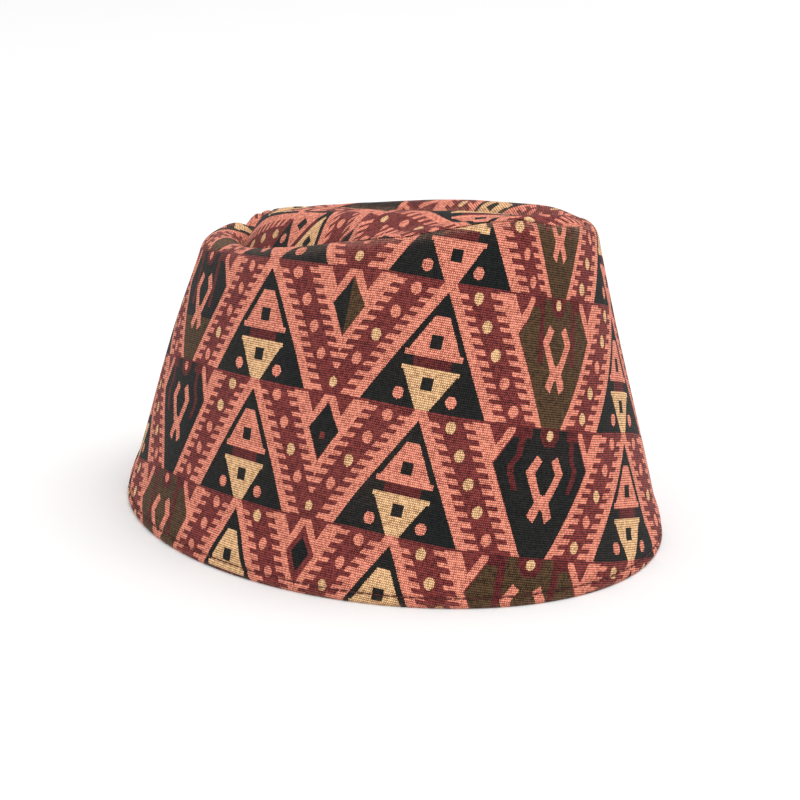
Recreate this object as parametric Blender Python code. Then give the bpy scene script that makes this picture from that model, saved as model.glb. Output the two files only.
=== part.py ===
"""Dhaka topi: a brimless cloth cap with an oval base, a sloping crown and a puffed top panel.

Metres, +Z up. The front of the cap faces -Y and the rim stands on z = 0. The outer
shell is two pieces of cloth: a side wall that is turned under at the hem and rolls
over at the top edge, and an oval top panel that is sewn into the groove behind that
roll, swells up along the seam and sinks in the middle.
"""

import math

import bmesh
import bpy
from mathutils import Vector

MM = 0.001

# Base oval of the rim. Half the length runs to the front, half the width to the side.
RIM_HALF_LENGTH = 103.2 * MM
RIM_HALF_WIDTH = 80.3 * MM

# Oval of the top edge, where the line of the wall meets the level of the crown.
TOP_HALF_LENGTH = 82.0 * MM
TOP_HALF_WIDTH = 49.0 * MM
TOP_CENTRE = Vector((0.2 * MM, -2.2 * MM))
TOP_TWIST = math.radians(1.7)

# Level of the crown: its mean height, its fall per metre and the waves of soft cloth.
CROWN_HEIGHT = 98.9 * MM
CROWN_FALL_X = 0.010
CROWN_FALL_Y = -0.173
EDGE_WAVES = (
    # (waves round the edge, height, angle of the crest)
    (2, 2.6 * MM, math.radians(-11.7)),
    (3, 1.2 * MM, math.radians(-22.5)),
)
EDGE_DIPS = (
    # (depth, angle of the deepest point, spread)
    (2.8 * MM, math.radians(-150), math.radians(30)),
    (1.5 * MM, math.radians(-92), math.radians(20)),
    (1.6 * MM, math.radians(50), math.radians(20)),
)

# Cloth and seams.
CLOTH = 2.0 * MM
HEM_CLOTH = 3.0 * MM
HEM_HEIGHT = 13.0 * MM
HEM_BULGE = 0.6 * MM
RIM_ROUND = 0.8 * MM
WALL_BULGE = 1.0 * MM
WALL_BULGE_ANGLE = math.radians(-124)
WALL_BULGE_LEAN = 1.6
ROLL_RADIUS = 7.0 * MM
ROLL_END = math.radians(62)
SEAM_GAP = 0.3 * MM

# Top panel: its ridge lies a fixed way in from the seam and its hollow from a share of the
# way to the centre. Heights are over the level of the crown.
RIDGE_IN = 13.0 * MM
HOLLOW_SHARE = 0.78
RIDGE_LOW = -2.0 * MM
RIDGE_SWELL = 9.0 * MM
RIDGE_SWELL_ANGLE = math.radians(-95)
HOLLOW_DEPTH = 5.5 * MM

COLUMNS = 72
HEM_STATIONS = (0.0, 0.6, 1.6, 4.0, 8.0, 12.0, 14.5)
WALL_STEPS = 6
ROLL_STEPS_UP = 5
ROLL_STEPS_DOWN = 4
PANEL_STATIONS = (0.02, 0.06, 0.12, 0.20, 0.29, 0.38, 0.48, 0.58, 0.69, 0.81, 0.92)

CLOTH_COLOUR = (0.42, 0.12, 0.09, 1.0)
PANEL_COLOUR = (0.38, 0.11, 0.085, 1.0)


def smooth_step(t):
    t = min(1.0, max(0.0, t))
    return t * t * (3.0 - 2.0 * t)


def oval_point(angle, half_length, half_width, twist=0.0):
    """Point of an oval, with angle 0 at the front (-Y) and 90 degrees at +X."""
    x = half_width * math.sin(angle - twist)
    y = -half_length * math.cos(angle - twist)
    c, s = math.cos(twist), math.sin(twist)
    return Vector((x * c - y * s, x * s + y * c))


def edge_wave(angle):
    """Rise of the crown's edge over the crown's level, with the dips that soft cloth takes."""
    rise = sum(height * math.cos(n * (angle - crest)) for n, height, crest in EDGE_WAVES)
    for depth, deepest, spread in EDGE_DIPS:
        away = math.remainder(angle - deepest, 2 * math.pi)
        rise -= depth * math.exp(-((away / spread) ** 2))
    return rise


def crown_level(point, angle, share=1.0):
    """Height of the crown's level over a plan point; share 1 is at the top edge."""
    fall = CROWN_FALL_X * (point.x - TOP_CENTRE.x) + CROWN_FALL_Y * (point.y - TOP_CENTRE.y)
    return CROWN_HEIGHT + fall + edge_wave(angle) * share * share


def edge_frame(angle):
    """Rim point, top edge point, the inward direction there and the wall's slope."""
    rim = oval_point(angle, RIM_HALF_LENGTH, RIM_HALF_WIDTH).to_3d()
    plan = TOP_CENTRE + oval_point(angle, TOP_HALF_LENGTH, TOP_HALF_WIDTH, TOP_TWIST)
    top = Vector((plan.x, plan.y, crown_level(plan, angle)))
    step = 0.01
    ahead = oval_point(angle + step, TOP_HALF_LENGTH, TOP_HALF_WIDTH, TOP_TWIST)
    behind = oval_point(angle - step, TOP_HALF_LENGTH, TOP_HALF_WIDTH, TOP_TWIST)
    along = (ahead - behind).normalized()
    inward = Vector((-along.y, along.x, 0.0))
    run = (rim - top).dot(-inward)
    slope = math.atan2(top.z, run)
    return rim, top, inward, slope


def wall_column(angle):
    """Outer points of the side wall from the rim to the end of the roll."""
    rim, top, inward, slope = edge_frame(angle)
    up = (top - rim).normalized()
    length = (top - rim).length
    tangent = ROLL_RADIUS * math.tan(slope / 2)
    out = -inward
    side = 0.5 + 0.5 * math.cos(angle - WALL_BULGE_ANGLE)
    points = []
    stations = [station * MM for station in HEM_STATIONS]
    last = stations[-1]
    stations += [last + (length - tangent - last) * k / WALL_STEPS for k in range(1, WALL_STEPS + 1)]
    for s in stations:
        share = s / (length - tangent)
        bulge = WALL_BULGE * side * math.sin(math.pi * share ** WALL_BULGE_LEAN) ** 2
        bulge += HEM_BULGE * math.sin(math.pi * min(1.0, s / HEM_HEIGHT))
        if s < RIM_ROUND * 2:
            lift = 1.0 - s / (RIM_ROUND * 2)
            bulge -= RIM_ROUND * lift * lift
        points.append(rim + up * s + out * bulge)
    centre = top + inward * tangent - Vector((0, 0, ROLL_RADIUS))
    turns = [-slope * (1 - k / ROLL_STEPS_UP) for k in range(1, ROLL_STEPS_UP + 1)]
    turns += [ROLL_END * k / ROLL_STEPS_DOWN for k in range(1, ROLL_STEPS_DOWN + 1)]
    for turn in turns:
        spoke = inward * math.sin(turn) + Vector((0, 0, 1)) * math.cos(turn)
        points.append(centre + spoke * ROLL_RADIUS)
    return points


def wall_thickness(index):
    if index >= len(HEM_STATIONS) - 1:
        return CLOTH
    return HEM_CLOTH


def grid_normals(grid):
    """Outward normals of a grid of columns, each a list of points that runs upwards."""
    columns = len(grid)
    rows = len(grid[0])
    normals = []
    for i in range(columns):
        before, after = grid[i - 1], grid[(i + 1) % columns]
        column = []
        for j in range(rows):
            across = after[j] - before[j]
            along = grid[i][min(j + 1, rows - 1)] - grid[i][max(j - 1, 0)]
            column.append(across.cross(along).normalized())
        normals.append(column)
    return normals


def shell_rings(bm, grid):
    """Vertices of a grid as rings that run round the cap, bottom ring first."""
    return [[bm.verts.new(column[j]) for column in grid] for j in range(len(grid[0]))]


def join_rings(bm, lower, upper):
    """Faces between two rings of vertices, facing away from the cap's middle."""
    count = len(lower)
    for i in range(count):
        k = (i + 1) % count
        bm.faces.new((lower[i], lower[k], upper[k], upper[i]))


def angles():
    return [2 * math.pi * i / COLUMNS for i in range(COLUMNS)]


def cloth_material(name, colour, roughness):
    material = bpy.data.materials.new(name)
    material.use_nodes = True
    shader = material.node_tree.nodes["Principled BSDF"]
    shader.inputs["Base Color"].default_value = colour
    shader.inputs["Roughness"].default_value = roughness
    shader.inputs["Metallic"].default_value = 0.0
    material.diffuse_color = colour
    return material


def make_object(name, bm, material):
    bmesh.ops.recalc_face_normals(bm, faces=bm.faces[:])
    mesh = bpy.data.meshes.new(name)
    bm.to_mesh(mesh)
    bm.free()
    mesh.materials.append(material)
    mesh.shade_smooth()
    mesh.set_sharp_from_angle(angle=math.radians(50))
    obj = bpy.data.objects.new(name, mesh)
    bpy.context.collection.objects.link(obj)
    return obj


def side_wall_grids():
    """Outer and inner faces of the side wall, column by column."""
    outer = [wall_column(a) for a in angles()]
    normals = grid_normals(outer)
    inner = []
    for i, column in enumerate(outer):
        points = []
        for j, point in enumerate(column):
            normal = normals[i][j]
            if j < 3:
                flat = Vector((normals[i][3].x, normals[i][3].y, 0)).normalized()
                depth = wall_thickness(j) - RIM_ROUND if j == 0 else wall_thickness(j)
                points.append(point - flat * depth)
            else:
                points.append(point - normal * wall_thickness(j))
        inner.append(points)
    return outer, inner, normals


def make_side_wall(material):
    outer, inner, _ = side_wall_grids()
    bm = bmesh.new()
    outside = shell_rings(bm, outer)
    inside = shell_rings(bm, inner)
    for lower, upper in zip(outside, outside[1:]):
        join_rings(bm, lower, upper)
    for lower, upper in zip(inside, inside[1:]):
        join_rings(bm, upper, lower)
    join_rings(bm, inside[0], outside[0])
    join_rings(bm, outside[-1], inside[-1])
    return make_object("side_wall", bm, material)


def panel_height(share_in, reach, angle, seam_height):
    """Height over the crown's level at a share of the way in from the seam."""
    swell = (0.5 + 0.5 * math.cos(angle - RIDGE_SWELL_ANGLE)) ** 1.5
    ridge = RIDGE_LOW + RIDGE_SWELL * swell
    ridge_share = RIDGE_IN / reach
    if share_in < ridge_share:
        rise = math.sin(math.pi / 2 * share_in / ridge_share) ** 1.2
        return seam_height + (ridge - seam_height) * rise
    sink = smooth_step((share_in - ridge_share) / (HOLLOW_SHARE - ridge_share))
    return ridge - (HOLLOW_DEPTH + ridge) * sink


def make_top_panel(material):
    outer, inner, normals = side_wall_grids()
    lip_ahead = []
    for i in range(COLUMNS):
        lip_ahead.append((outer[i][-1] - outer[i][-2]).normalized())
    top_rings = []
    edge_top = [outer[i][-1] + lip_ahead[i] * SEAM_GAP for i in range(COLUMNS)]
    edge_under = [inner[i][-1] + lip_ahead[i] * SEAM_GAP for i in range(COLUMNS)]
    top_rings.append(edge_top)
    centre = Vector((TOP_CENTRE.x, TOP_CENTRE.y))
    for share_in in PANEL_STATIONS:
        ring = []
        for i, angle in enumerate(angles()):
            seam = edge_top[i]
            plan = Vector((seam.x, seam.y)).lerp(centre, share_in)
            reach = (Vector((seam.x, seam.y)) - centre).length
            seam_level = crown_level(Vector((seam.x, seam.y)), angle)
            seam_height = seam.z - seam_level
            height = panel_height(share_in, reach, angle, seam_height)
            ring.append(Vector((plan.x, plan.y, crown_level(plan, angle, 1 - share_in) + height)))
        top_rings.append(ring)
    middle = Vector((centre.x, centre.y, crown_level(centre, 0.0, 0.0) - HOLLOW_DEPTH))

    columns = [[ring[i] for ring in top_rings] + [middle] for i in range(COLUMNS)]
    panel_normals = grid_normals(columns)
    under_rings = [edge_under]
    for j in range(1, len(top_rings)):
        under_rings.append([
            top_rings[j][i] - panel_normals[i][j] * CLOTH for i in range(COLUMNS)
        ])

    bm = bmesh.new()
    top = [[bm.verts.new(p) for p in ring] for ring in top_rings]
    under = [[bm.verts.new(p) for p in ring] for ring in under_rings]
    for lower, upper in zip(top, top[1:]):
        join_rings(bm, lower, upper)
    for lower, upper in zip(under, under[1:]):
        join_rings(bm, upper, lower)
    join_rings(bm, under[0], top[0])
    tip = bm.verts.new(middle)
    tip_under = bm.verts.new(middle - Vector((0, 0, CLOTH)))
    for i in range(COLUMNS):
        k = (i + 1) % COLUMNS
        bm.faces.new((top[-1][i], top[-1][k], tip))
        bm.faces.new((under[-1][k], under[-1][i], tip_under))
    return make_object("top_panel", bm, material)


def main():
    for obj in list(bpy.data.objects):
        bpy.data.objects.remove(obj, do_unlink=True)
    wall_cloth = cloth_material("woven_cloth_side", CLOTH_COLOUR, 0.85)
    panel_cloth = cloth_material("woven_cloth_top", PANEL_COLOUR, 0.85)
    make_side_wall(wall_cloth)
    make_top_panel(panel_cloth)


main()
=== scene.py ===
"""Looks of the dhaka topi: its woven cloth, sewn hem and seams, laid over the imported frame.

Metres, +Z up, the front of the cap faces -Y. The cap is soft cloth sewn from a side wall and
a top panel. Both are closed shells made ring by ring, and they carry a map named "cloth"
whose unit is a millimetre of the flat woven cloth, so that the weave and its figures run
over the cap as they were cut and sewn.
"""

import math

import bmesh
import bpy
from mathutils import Matrix, Vector, noise


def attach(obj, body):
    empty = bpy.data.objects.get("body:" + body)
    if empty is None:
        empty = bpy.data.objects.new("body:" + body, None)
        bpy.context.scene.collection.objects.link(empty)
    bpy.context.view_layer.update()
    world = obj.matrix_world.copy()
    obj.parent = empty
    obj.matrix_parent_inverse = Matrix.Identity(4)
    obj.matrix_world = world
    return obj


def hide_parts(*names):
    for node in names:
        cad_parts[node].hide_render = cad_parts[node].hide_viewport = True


MM = 0.001

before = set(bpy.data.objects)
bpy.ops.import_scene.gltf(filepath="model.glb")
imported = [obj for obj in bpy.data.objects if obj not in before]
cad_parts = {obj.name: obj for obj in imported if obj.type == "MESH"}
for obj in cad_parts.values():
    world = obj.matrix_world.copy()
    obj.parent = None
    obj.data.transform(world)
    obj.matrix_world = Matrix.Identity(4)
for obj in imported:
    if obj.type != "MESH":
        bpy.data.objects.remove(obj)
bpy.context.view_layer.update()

# Shape of the cap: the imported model's curves, with finer dips along the top edge.
RIM_HALF_LENGTH = 103.2 * MM
RIM_HALF_WIDTH = 80.3 * MM
TOP_HALF_LENGTH = 82.0 * MM
TOP_HALF_WIDTH = 49.0 * MM
TOP_CENTRE = Vector((0.2 * MM, -2.2 * MM))
TOP_TWIST = math.radians(1.7)
CROWN_HEIGHT = 98.9 * MM
CROWN_FALL_X = 0.010
CROWN_FALL_Y = -0.173
EDGE_WAVES = (
    # (waves round the edge, height, angle of the crest)
    (2, 2.6 * MM, math.radians(-11.7)),
    (3, 1.2 * MM, math.radians(-22.5)),
)
EDGE_DIPS = (
    # (depth, angle of the deepest point, spread)
    (2.8 * MM, math.radians(-150), math.radians(30)),
    (1.5 * MM, math.radians(-92), math.radians(20)),
    (1.6 * MM, math.radians(50), math.radians(20)),
    (-1.4 * MM, math.radians(-88), math.radians(16)),
    (3.6 * MM, math.radians(-170), math.radians(5)),
    (-0.9 * MM, math.radians(72), math.radians(13)),
    (1.0 * MM, math.radians(28), math.radians(14)),
)
CLOTH = 2.0 * MM
HEM_HEIGHT = 13.0 * MM
HEM_BULGE = 0.6 * MM
RIM_ROUND = 0.8 * MM
RIM_ROUND_REACH = 1.6 * MM
RIM_TURN_REACH = 4.0 * MM
WALL_BULGE = 1.0 * MM
WALL_BULGE_ANGLE = math.radians(-124)
WALL_BULGE_LEAN = 1.6
ROLL_RADIUS = 7.0 * MM
RIDGE_IN = 13.0 * MM
RIDGE_RISE_POWER = 1.1
RIDGE_LOW = -2.0 * MM
RIDGE_SWELL = 9.0 * MM
RIDGE_SWELL_ANGLE = math.radians(-95)
RIDGE_SWELL_POWER = 1.5
RIDGE_TUCK = 0.4
RIDGE_TUCK_ANGLE = math.radians(-172)
RIDGE_TUCK_SPREAD = math.radians(16)
HOLLOW_SHARE = 0.78
HOLLOW_DEPTH = 5.5 * MM

# Where the top panel is sewn on: the turn of the roll, over the level, at which the wall's
# cloth dives into the seam. The seam sits low on the outside at the front and the back left.
SEAM_TURNS = (
    # (angle, turn) in degrees
    (-180, 16), (-172, 60), (-140, 66), (-104, 62), (-76, 56), (-68, 30), (-62, -5), (-58, -17),
    (-54, -27), (-50, -36), (-44, -42), (-30, -43), (-22, -40), (-12, -44), (-6, -55), (2, -66),
    (12, -68), (22, -56), (32, -10), (44, 56), (120, 50), (150, 20), (172, -28), (180, 16),
)
RIDGE_TURN = math.radians(62)
OVER_TURN = math.radians(8)
OVER_REACH = 4.0 * MM
SEAM_GAP = 0.35 * MM
SEAM_ROUND = 0.4 * MM
SEAM_TUCK = 3.2 * MM
SEAM_TUCK_LEAN = math.radians(30)
WALL_TUCK = (
    # (share of the tuck's depth, mm across the gap towards the panel)
    (0.08, 0.0), (0.3, 0.1), (1.0, 0.0), (1.0, -1.2),
)
WALL_TUCK_CLOTH = (0.2, 0.45, 1.1, 1.5)  # the same places on the cloth, past the seam
PANEL_TUCK = (
    # (share of the tuck's depth, mm across the gap); a lip reaches under the wall's cloth
    (0.3, 0.0), (1.15, 0.0), (1.2, -1.4), (1.4, -1.4), (1.2, 1.2),
)
PANEL_TUCK_OUTSIDE = 2  # places before the lining begins
PANEL_TUCK_LIP = 4  # places before the cloth turns back

# Stitches, seams and the small bends of soft cloth.
BACK_SEAM = math.pi
STITCH_HEIGHT = 3.4 * MM
STITCH_CLOTH = 2.6 * MM
STITCH_COUNT = 212
STITCH_RADIUS = 0.22 * MM
STITCH_OUTSIDE = 0.9 * STITCH_RADIUS
STITCH_INSIDE = 0.1 * STITCH_RADIUS
STITCH_HALF_LENGTH = 0.47
STITCH_GROOVE = 0.45 * MM
STITCH_GROOVE_SPREAD = 0.6 * MM
BACK_GROOVE = 0.9 * MM
BACK_GROOVE_SPREAD = 0.8 * MM
BACK_LIP = 0.5 * MM
BACK_LIP_AWAY = 3.2 * MM
BACK_LIP_SPREAD = 1.8 * MM
RIM_STILL = 1.0 * MM
WAVE = 0.55 * MM
WALL_WAVE_LENGTH = 42.0 * MM
WALL_WAVE_START = 5.0 * MM
WALL_WAVE_GROWTH = 25.0 * MM
PANEL_WAVE_LENGTH = 26.25 * MM
PANEL_WAVE_GROWTH = 20.0 * MM
PUCKER = 0.7 * MM
PUCKER_LENGTH = 9.0 * MM
PUCKER_REACH = 9.0 * MM
PUCKER_START = 1.0 * MM

# Where the cloth's edges are rubbed, in mm along the cloth: how far from the rim and the seam,
# and over the roll.
RIM_WEAR_REACH = 1.3
SEAM_WEAR_REACH = 1.6
ROLL_WEAR = 0.45
ROLL_WEAR_PLACE = 7.0
ROLL_WEAR_REACH = 4.5

# Places of the columns and rings that the shells are made of.
BACK_SEAM_COLUMNS = (0.25, 0.5, 0.8, 1.15, 1.6, 2.2, 3.0)
EVEN_COLUMNS = 283
EVEN_COLUMNS_START = 4.0
HEM_STATIONS = (
    # height over the rim in mm
    0, 0.25, 0.6, 1.05, 1.6, 2.1, 2.6, 3.0, 3.2, 3.4, 3.6, 3.8, 4.3, 5.2, 7, 9, 11, 13, 15,
)
WALL_STEPS = 34
ROLL_STEPS = 18
INNER_ROLL_STEPS = 10
INNER_WALL_STEPS = 16
TURNED_STATIONS = (
    # (height over the rim in mm, thickness of the cloth there in mm)
    (15.0, 2.0), (13.8, 2.0), (13.35, 2.1), (13.15, 2.6), (12.8, 2.95), (12.0, 3.0), (9.0, 3.0),
    (6.0, 3.0), (4.3, 3.0), (3.7, 2.75), (3.4, 2.6), (3.1, 2.75), (2.4, 3.0), (1.2, 3.0),
    (0.6, 2.8), (0.2, 2.45), (0.0, 2.2),
)
PANEL_STATIONS = (
    # share of the way in from the seam to the middle
    0.004, 0.012, 0.024, 0.04, 0.06, 0.085, 0.11, 0.14, 0.17, 0.20, 0.235, 0.27, 0.31, 0.35,
    0.39, 0.43, 0.48, 0.53, 0.58, 0.63, 0.69, 0.75, 0.81, 0.87, 0.93, 0.975,
)
PANEL_UNDER = slice(5, None, 3)
POLE_SIZE = 0.01 * MM
STITCH_WALK_STEPS = 720

# How the flat cloth lies on the side wall: one angle round the rim is pinned to a place on
# the cloth, and the cloth is pulled a little off its true unrolled place.
PIN_ANGLE = math.radians(-40.2)
PIN_PLACE = Vector((66.39, -138.48))
PIN_LEAN = math.radians(-2.97)
PULL_HEIGHT = 100.0
PULL = (
    # (angle, along at the rim, along at the top, up at the rim, up at the top), mm of cloth
    (-110, -12.0, 1.8, -6.2, 1.5),
    (-90, -7.2, 1.1, -3.4, 1.3),
    (-70, -3.6, -6.2, -0.8, 0.6),
    (-50, 1.3, -8.7, 0.1, -0.8),
    (-30, 1.5, -9.2, 2.2, -0.1),
    (-10, 2.1, -6.4, 2.2, 0.4),
    (10, 4.2, 8.5, 1.8, 1.1),
    (30, 6.8, 15.2, -0.3, 0.7),
    (50, -3.3, 14.4, -0.9, 0.8),
)
PANEL_CLOTH_TURN = math.radians(214.7)
PANEL_CLOTH_PLACE = Vector((28.5, -160.3))

THREAD = 0.6
RIB = 0.7
CROSSING_POWER = 0.6
LINING_THREAD = 0.45
# How far the lit colour of the thread tops comes out over the shaded colour of the gaps: by
# height, by chance, by the row's chance, less a share that stays shaded. This paints a highlight
# on the high thread tops and shade in the gaps.
LIT_TOP_SHARES = (2.2, 0.9, 0.2, 1.2)

# The woven figure, charted in mm of flat cloth. It repeats sideways, each repeat has
# two towers with a narrow and a wide valley beside them, and the towers stand in rows of four
# kinds. A narrow valley lies at NARROW_VALLEY, and the next tower is TOWER away from it.
ROW = 38.8
ROW_KINDS = 4
HALF_REPEAT = 76.1
NARROW_VALLEY = 30.95
TOWER = 30.95
STRIPE = 3.5
TOOTH = 0.8
FIRST_DOT = (10.1, 3.6)  # away from the tower's middle, and down
DOT_STEP = (4.74, 7.9)
BAND_DOT = (1.65, 1.9)
NARROW_SIDE_DOTS = 4
ARM_SPLIT = 12.0
ARM_OUT = 25.6
ARM_SLOPE = 0.56
VALLEY_TOP = 0.8
VALLEY_STRIPE = 2.6
VALLEY_TOOTH = 3.5
DIAMOND_BORDER = 2.2
DIAMOND_FOOT = 17.0
BODY_TOP = 0.6
BODY_WIDEST = 12.2
BODY_OUT = 57.0
BODY_SLOPE = 0.547
BODY_BLACK_END = 24.0
OUTLINE_MARGIN = 0.05
WHOLE_MARGIN = 0.25
# Outlines as (way down the row, half width or place) points.
DIAMOND = ((0.0, 0.0), (3.5, 0.1), (11.5, 5.8), (20.6, 0.1), (38.8, 0.0))
HALO = ((0.0, 4.3), (3.0, 4.3), (5.7, 2.2), (5.9, 0.0), (38.8, 0.0))
CHEVRON = (
    (0.0, 65.0), (5.0, 65.0), (9.0, 64.8), (12.0, 62.7), (14.5, 63.2), (19.5, 65.5), (38.8, 70.0),
)
TONGS_OUTSIDE = (
    (0.0, 0.0), (8.2, 4.6), (13.5, 7.9), (22.5, 2.9), (26.6, 4.9), (28.5, 2.4), (38.8, 0.0),
)
TONGS_INSIDE = (
    (0.0, 4.9), (8.2, 4.9), (10.0, 2.2), (14.0, 4.5), (20.0, 1.1), (20.3, 0.0), (24.5, 0.0),
    (24.9, 0.7), (28.5, 2.3), (38.8, 2.3),
)

# The photograph's camera, fitted to the cap's outline, and the studio.
CAMERA_AIM = Vector((0.0029084, -0.0019753, 0.0371967))
CAMERA_AZIMUTH = math.radians(-124.18)
CAMERA_ELEVATION = math.radians(16.5447)
CAMERA_DISTANCE = 1.0300573
CAMERA_LENS = 141.69
CAMERA_SENSOR = 36.0
CAMERA_SEES = 30.0
LIGHT_AIM = Vector((0, 0, 0.05))
FLOOR_SIZE = 6.0


def lengths_along(places):
    """Distance of each place from the first, walked from place to place."""
    lengths = [0.0]
    for before, after in zip(places, places[1:]):
        lengths.append(lengths[-1] + (after - before).length)
    return lengths


def smooth_step(t):
    t = min(1.0, max(0.0, t))
    return t * t * (3.0 - 2.0 * t)


def bell(distance, spread):
    """1 at no distance, and falling off smoothly round it."""
    return math.exp(-((distance / spread) ** 2))


def angle_between(angle, other):
    return math.remainder(angle - other, 2 * math.pi)


def steps_between(first, last, count):
    """Evenly spaced values from first to last, without the first."""
    return [first + (last - first) * k / count for k in range(1, count + 1)]


def pucker(place):
    """How deep the cloth is drawn in close to the top seam."""
    return PUCKER * (0.5 + noise.noise(Vector((place.x, place.y, 0)) / PUCKER_LENGTH))


def oval_point(angle, half_length, half_width, twist=0.0):
    """Point of an oval, with angle 0 at the front (-Y) and 90 degrees at +X."""
    x = half_width * math.sin(angle - twist)
    y = -half_length * math.cos(angle - twist)
    c, s = math.cos(twist), math.sin(twist)
    return Vector((x * c - y * s, x * s + y * c))


def edge_wave(angle):
    """Rise of the top edge over the crown's level."""
    rise = sum(height * math.cos(n * (angle - crest)) for n, height, crest in EDGE_WAVES)
    for depth, deepest, spread in EDGE_DIPS:
        rise -= depth * bell(angle_between(angle, deepest), spread)
    return rise


def crown_level(point, angle, share=1.0):
    """Height of the crown's level over a plan point; share 1 is at the top edge."""
    fall = CROWN_FALL_X * (point.x - TOP_CENTRE.x) + CROWN_FALL_Y * (point.y - TOP_CENTRE.y)
    return CROWN_HEIGHT + fall + edge_wave(angle) * share * share


def edge_frame(angle):
    """Rim point, top edge point, the inward direction there and the wall's slope."""
    rim = oval_point(angle, RIM_HALF_LENGTH, RIM_HALF_WIDTH).to_3d()
    plan = TOP_CENTRE + oval_point(angle, TOP_HALF_LENGTH, TOP_HALF_WIDTH, TOP_TWIST)
    top = Vector((plan.x, plan.y, crown_level(plan, angle)))
    step = 0.01
    ahead = oval_point(angle + step, TOP_HALF_LENGTH, TOP_HALF_WIDTH, TOP_TWIST)
    behind = oval_point(angle - step, TOP_HALF_LENGTH, TOP_HALF_WIDTH, TOP_TWIST)
    along = (ahead - behind).normalized()
    inward = Vector((-along.y, along.x, 0.0))
    slope = math.atan2(top.z, (rim - top).dot(-inward))
    return rim, top, inward, slope


def seam_turn(angle):
    """Turn of the roll at which the wall's cloth dives into the top seam."""
    turned = math.degrees(angle)
    for (low, turn), (high, next_turn) in zip(SEAM_TURNS, SEAM_TURNS[1:]):
        if turned <= high:
            share = smooth_step((turned - low) / (high - low))
            break
    return math.radians(turn + (next_turn - turn) * share)


class WallSection:
    """The wall's upright section at one angle: places on its outside, and the way out there."""

    def __init__(self, angle):
        self.angle = angle
        self.rim, self.top, self.inward, self.slope = edge_frame(angle)
        self.length = (self.top - self.rim).length
        self.up = (self.top - self.rim).normalized()
        tangent = ROLL_RADIUS * math.tan(self.slope / 2)
        self.straight = self.length - tangent
        self.roll_end = seam_turn(angle)
        self.full = self.straight + ROLL_RADIUS * (self.slope + self.roll_end)
        aside, down = math.sin(SEAM_TUCK_LEAN), math.cos(SEAM_TUCK_LEAN)
        self.tuck_way = self.inward * aside - Vector((0, 0, down))
        self.gap_way = self.inward * down + Vector((0, 0, aside))
        self.centre = self.top + self.inward * tangent - Vector((0, 0, ROLL_RADIUS))
        self.side = 0.5 + 0.5 * math.cos(angle - WALL_BULGE_ANGLE)

    def outside(self, s):
        """Way out of the cloth at a distance up from the rim, level close to the rim."""
        if s <= self.straight:
            out = Vector((0, 0, math.cos(self.slope))) - self.inward * math.sin(self.slope)
            return (-self.inward).lerp(out, min(1.0, s / RIM_TURN_REACH)).normalized()
        turn = -self.slope + (s - self.straight) / ROLL_RADIUS
        return self.inward * math.sin(turn) + Vector((0, 0, math.cos(turn)))

    def shape(self, s):
        """Place on the wall's outside before its small bends."""
        if s > self.straight:
            return self.centre + self.outside(s) * ROLL_RADIUS
        share = s / self.straight
        bulge = WALL_BULGE * self.side * math.sin(math.pi * share ** WALL_BULGE_LEAN) ** 2
        bulge += HEM_BULGE * math.sin(math.pi * min(1.0, s / HEM_HEIGHT))
        if s < RIM_ROUND_REACH:
            bulge -= RIM_ROUND * (1.0 - s / RIM_ROUND_REACH) ** 2
        return self.rim + self.up * s - self.inward * bulge

    def small_bend(self, s):
        """Rise of the cloth off its plain shape: waves, puckers at the seam, the back seam."""
        place = self.shape(s)
        loose = smooth_step((s - WALL_WAVE_START) / WALL_WAVE_GROWTH)
        rise = WAVE * loose * noise.noise(place / WALL_WAVE_LENGTH)
        rise -= pucker(place) * smooth_step(1 - (self.full - s) / PUCKER_REACH)
        away = abs(angle_between(self.angle, BACK_SEAM)) * place.xy.length
        rise += BACK_LIP * bell(away - BACK_LIP_AWAY, BACK_LIP_SPREAD)
        rise -= BACK_GROOVE * bell(away, BACK_GROOVE_SPREAD)
        return rise

    def outer(self, s):
        rise = self.small_bend(s)
        rise -= STITCH_GROOVE * bell(s - STITCH_HEIGHT, STITCH_GROOVE_SPREAD)
        if s < RIM_STILL:
            rise *= s / RIM_STILL
        return self.shape(s) + self.outside(s) * rise

    def inner(self, s, thickness):
        return self.shape(s) - self.outside(s) * thickness

    def stations(self):
        """Distances up from the rim, at the hem, up the wall and round the roll."""
        heights = [h * MM for h in HEM_STATIONS]
        heights += steps_between(heights[-1], self.straight, WALL_STEPS)
        heights += steps_between(self.straight, self.full, ROLL_STEPS)
        return heights

    def seam_edge(self):
        """Place where the wall's cloth folds down into the seam."""
        level, rise = math.cos(self.roll_end), math.sin(self.roll_end)
        way = self.inward * level - Vector((0, 0, rise))
        return self.outer(self.full) + way * SEAM_ROUND

    def tuck(self, edge, places):
        """Places down in the top seam, from a (share of depth, mm across the gap) list."""
        down = self.tuck_way * SEAM_TUCK
        return [edge + down * share + self.gap_way * across * MM for share, across in places]


def column_angles():
    """Angles of the columns from the back seam round to it again, closer beside the seam."""
    even_end = 360.0 - EVEN_COLUMNS_START
    even = [EVEN_COLUMNS_START]
    even += steps_between(EVEN_COLUMNS_START, even_end, EVEN_COLUMNS - 1)
    after = [360.0 - turned for turned in reversed(BACK_SEAM_COLUMNS)]
    return [math.radians(t - 180.0) for t in (0.0, *BACK_SEAM_COLUMNS, *even, *after)]


ANGLES = column_angles()
SECTIONS = [WallSection(angle) for angle in ANGLES]


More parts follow.
